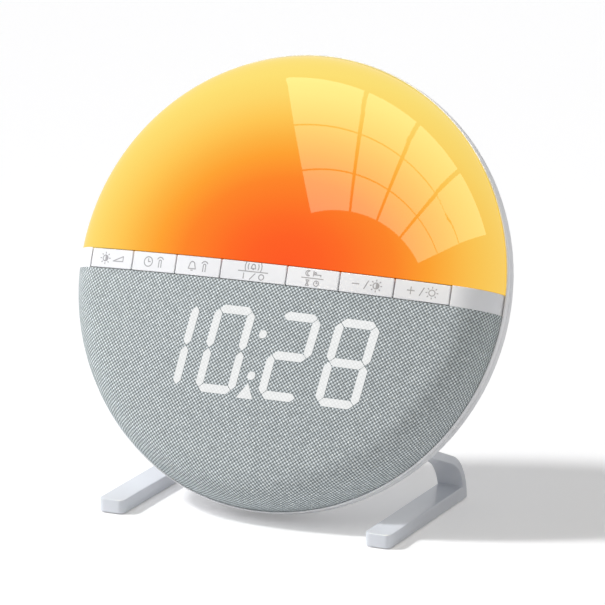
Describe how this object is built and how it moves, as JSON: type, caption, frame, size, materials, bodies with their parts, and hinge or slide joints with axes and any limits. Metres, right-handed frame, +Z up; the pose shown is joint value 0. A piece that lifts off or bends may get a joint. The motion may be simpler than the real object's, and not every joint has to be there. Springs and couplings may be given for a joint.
{
  "type": "sunrise alarm clock",
  "caption": "Sunrise alarm clock: a round leaning body with a domed glowing lamp, a strip of keys and a fabric-covered digital display, on two bent feet.",
  "frame": {"origin": "on the table, under the middle of the clock's outline", "axes": "+Z up; the face looks to -Y, leaning back by 21 degrees; +X to the right of someone who faces the clock"},
  "size_m": [0.172, 0.0876, 0.1646],
  "materials": {
    "white_shell": "satin, slightly glossy white",
    "foot_white": "satin white",
    "key_white": "satin white with grey signs",
    "lamp_diffuser": "polished translucent diffuser, glowing from deep orange to pale yellow",
    "grey_fabric": "two-tone grey basket weave",
    "dark_panel": "moulded black",
    "lens": "frosted translucent",
    "light_guides": "milky light guides",
    "reflector_white": "matt white",
    "lamp_board_white": "white coated aluminium-core board",
    "leds": "phosphor yellow",
    "board_green": "green solder mask",
    "black_plastic": "moulded black",
    "steel": "zinc-plated",
    "magnet": "nickel-plated",
    "basket": "black",
    "cone": "pressed paper",
    "surround": "soft black",
    "cell_wrap": "plain printed sleeve",
    "pad_rubber": "soft translucent grey"
  },
  "bodies": {
    "housing": {"rear_housing": "white_shell", "front_frame": "white_shell", "left_foot": "foot_white", "right_foot": "foot_white", "lamp_diffuser": "lamp_diffuser", "fabric_cover": "grey_fabric", "grille_panel": "dark_panel", "display_block": "dark_panel", "display_lens": "lens", "display_segments": "light_guides", "lamp_reflector": "reflector_white", "lamp_board": "lamp_board_white", "lamp_leds": "leds", "display_leds": "leds", "display_board": "board_green", "key_board": "board_green", "main_board": "board_green", "key_switches": "black_plastic", "board_chips": "black_plastic", "power_socket": "black_plastic", "display_screws": "steel", "key_board_screws": "steel", "main_board_screws": "steel", "speaker_screws": "steel", "foot_screws": "steel", "housing_screws": "steel", "lamp_screws": "steel", "battery_contacts": "steel", "power_pin": "steel", "speaker_magnet": "magnet", "speaker_basket": "basket", "speaker_cone": "cone", "speaker_surround": "surround", "backup_cells": "cell_wrap", "foot_pads": "pad_rubber"},
    "key_dimmer": {"key_dimmer": "key_white", "plunger_dimmer": "black_plastic"},
    "key_time": {"key_time": "key_white", "plunger_time": "black_plastic"},
    "key_alarm": {"key_alarm": "key_white", "plunger_alarm": "black_plastic"},
    "key_alarm_switch": {"key_alarm_switch": "key_white", "plunger_alarm_switch": "black_plastic"},
    "key_sleep_timer": {"key_sleep_timer": "key_white", "plunger_sleep_timer": "black_plastic"},
    "key_minus": {"key_minus": "key_white", "plunger_minus": "black_plastic"},
    "key_plus": {"key_plus": "key_white", "plunger_plus": "black_plastic"},
    "battery_door": {"battery_door": "white_shell"}
  },
  "joints": [
    {"name": "press_dimmer", "type": "slide", "parent": "housing", "child": "key_dimmer", "axis": [0, 0.9336, -0.3584], "range_m": [0, 0.0007], "stiffness_N_per_m": 900, "springref_m": -0.0004},
    {"name": "press_time", "type": "slide", "parent": "housing", "child": "key_time", "axis": [0, 0.9336, -0.3584], "range_m": [0, 0.0007], "stiffness_N_per_m": 900, "springref_m": -0.0004},
    {"name": "press_alarm", "type": "slide", "parent": "housing", "child": "key_alarm", "axis": [0, 0.9336, -0.3584], "range_m": [0, 0.0007], "stiffness_N_per_m": 900, "springref_m": -0.0004},
    {"name": "press_alarm_switch", "type": "slide", "parent": "housing", "child": "key_alarm_switch", "axis": [0, 0.9336, -0.3584], "range_m": [0, 0.0007], "stiffness_N_per_m": 900, "springref_m": -0.0004},
    {"name": "press_sleep_timer", "type": "slide", "parent": "housing", "child": "key_sleep_timer", "axis": [0, 0.9336, -0.3584], "range_m": [0, 0.0007], "stiffness_N_per_m": 900, "springref_m": -0.0004},
    {"name": "press_minus", "type": "slide", "parent": "housing", "child": "key_minus", "axis": [0, 0.9336, -0.3584], "range_m": [0, 0.0007], "stiffness_N_per_m": 900, "springref_m": -0.0004},
    {"name": "press_plus", "type": "slide", "parent": "housing", "child": "key_plus", "axis": [0, 0.9336, -0.3584], "range_m": [0, 0.0007], "stiffness_N_per_m": 900, "springref_m": -0.0004},
    {"name": "battery_door_tilt", "type": "hinge", "parent": "housing", "child": "battery_door", "pos_m": [0, 0.02546, 0.08447], "axis": [-1, 0, 0], "range_deg": [0, 30]}
  ]
}
